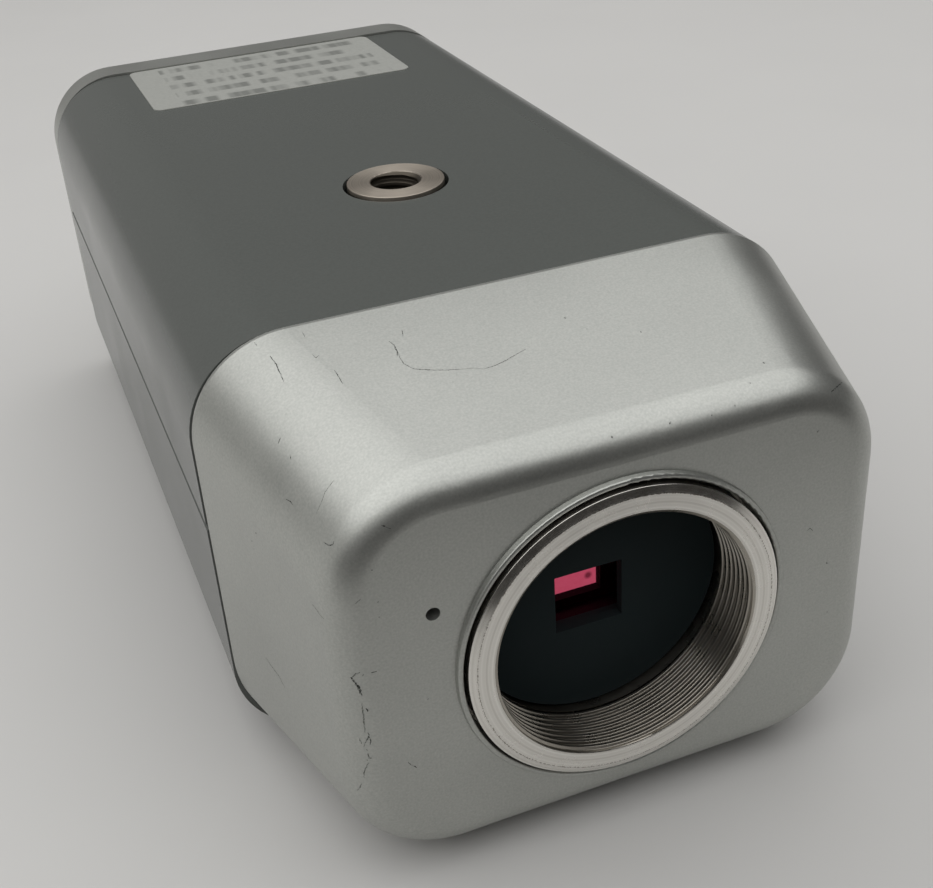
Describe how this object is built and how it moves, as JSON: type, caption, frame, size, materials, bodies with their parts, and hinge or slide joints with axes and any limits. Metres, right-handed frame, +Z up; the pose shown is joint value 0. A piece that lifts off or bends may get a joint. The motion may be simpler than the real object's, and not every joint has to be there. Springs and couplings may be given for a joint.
{
  "type": "cctv box camera",
  "caption": "Box security camera without its lens: silver tapered nose with a threaded lens ring, grey shell, tripod socket and rear connections.",
  "frame": {"origin": "on the surface it stands on, under the middle of its length and width", "axes": "+Z up, lens ring facing -Y, +X to the right seen from the front"},
  "size_m": [0.0638, 0.1408, 0.0475],
  "materials": {
    "silver_paint": "satin silver paint on a casting",
    "grey_paint": "satin dark grey paint",
    "turned_aluminium": "bare, turned",
    "steel": "zinc plated",
    "black_steel": "blackened",
    "nickel_plate": "satin nickel plate",
    "gilt_contact": "thin gilt",
    "black_plastic": "matt black, moulded",
    "button_plastic": "moulded",
    "white_plastic": "moulded",
    "ivory_plastic": "moulded",
    "white_film": "flat lead film",
    "label_film": "printed film, left bare",
    "green_board": "glass fibre board with lacquer",
    "ferrite": "ferrite core",
    "ceramic_body": "sensor package",
    "black_rubber": "moulded",
    "filter_glass": "coated filter glass",
    "clear_glass": "clear",
    "red_lens": "clear red, moulded"
  },
  "bodies": {
    "casing": {"front_bezel": "silver_paint", "rear_panel": "silver_paint", "upper_cover": "grey_paint", "lower_cover": "grey_paint", "mount_retainer": "steel", "retainer_screws": "steel", "guide_pins": "steel", "ring_lock_screw": "black_steel", "sensor_ribbon": "white_film", "ribbon_socket": "ivory_plastic", "microphone": "steel", "mic_boot": "black_rubber", "tie_screws": "black_steel", "tripod_bushing": "nickel_plate", "tripod_bracket": "steel", "bracket_screws": "steel", "rating_label": "label_film", "main_board": "green_board", "board_screws": "steel", "signal_processor": "black_plastic", "board_capacitors": "turned_aluminium", "timing_crystal": "steel", "board_header": "black_plastic", "rear_board": "green_board", "rear_board_screws": "steel", "tact_switches": "black_plastic", "voltage_converter": "ferrite", "video_jack_shell": "nickel_plate", "video_jack_insulator": "white_plastic", "video_jack_contact": "gilt_contact", "video_jack_washer": "nickel_plate", "video_jack_nut": "nickel_plate", "power_jack_body": "black_plastic", "power_jack_pin": "nickel_plate", "power_lamp": "red_lens", "iris_switch_body": "black_plastic", "iris_socket": "black_plastic", "iris_contacts": "gilt_contact"},
    "lens_ring": {"lens_mount_ring": "turned_aluminium"},
    "sensor_block": {"sensor_carriage": "black_plastic", "filter_gasket": "black_rubber", "ir_cut_filter": "filter_glass", "sensor_glass": "clear_glass", "sensor_package": "ceramic_body", "sensor_board": "green_board", "sensor_screws": "steel", "sensor_connector": "ivory_plastic"},
    "iris_slider": {"iris_switch_slider": "white_plastic"},
    "button_up": {"button_up": "button_plastic"},
    "button_down": {"button_down": "button_plastic"},
    "button_left": {"button_left": "button_plastic"},
    "button_right": {"button_right": "button_plastic"},
    "button_set": {"button_set": "button_plastic"}
  },
  "joints": [
    {"name": "ring_turn", "type": "hinge", "parent": "casing", "child": "lens_ring", "pos_m": [0, -0.07037, 0.0228], "axis": [0, 1, 0], "range_deg": [-180, 180]},
    {"name": "focus_slide", "type": "slide", "parent": "casing", "child": "sensor_block", "axis": [0, 1, 0], "range_m": [-0.0005, 0.0005]},
    {"name": "iris_select", "type": "slide", "parent": "casing", "child": "iris_slider", "axis": [1, 0, 0], "range_m": [0, 0.002]},
    {"name": "up_press", "type": "slide", "parent": "casing", "child": "button_up", "axis": [0, -1, 0], "range_m": [0, 0.0005], "stiffness_N_per_m": 1500},
    {"name": "down_press", "type": "slide", "parent": "casing", "child": "button_down", "axis": [0, -1, 0], "range_m": [0, 0.0005], "stiffness_N_per_m": 1500},
    {"name": "left_press", "type": "slide", "parent": "casing", "child": "button_left", "axis": [0, -1, 0], "range_m": [0, 0.0005], "stiffness_N_per_m": 1500},
    {"name": "right_press", "type": "slide", "parent": "casing", "child": "button_right", "axis": [0, -1, 0], "range_m": [0, 0.0005], "stiffness_N_per_m": 1500},
    {"name": "set_press", "type": "slide", "parent": "casing", "child": "button_set", "axis": [0, -1, 0], "range_m": [0, 0.0005], "stiffness_N_per_m": 1500}
  ],
  "couplings": [
    {"joint": "focus_slide", "follows": "ring_turn", "m_per_rad": 0.000159}
  ]
}
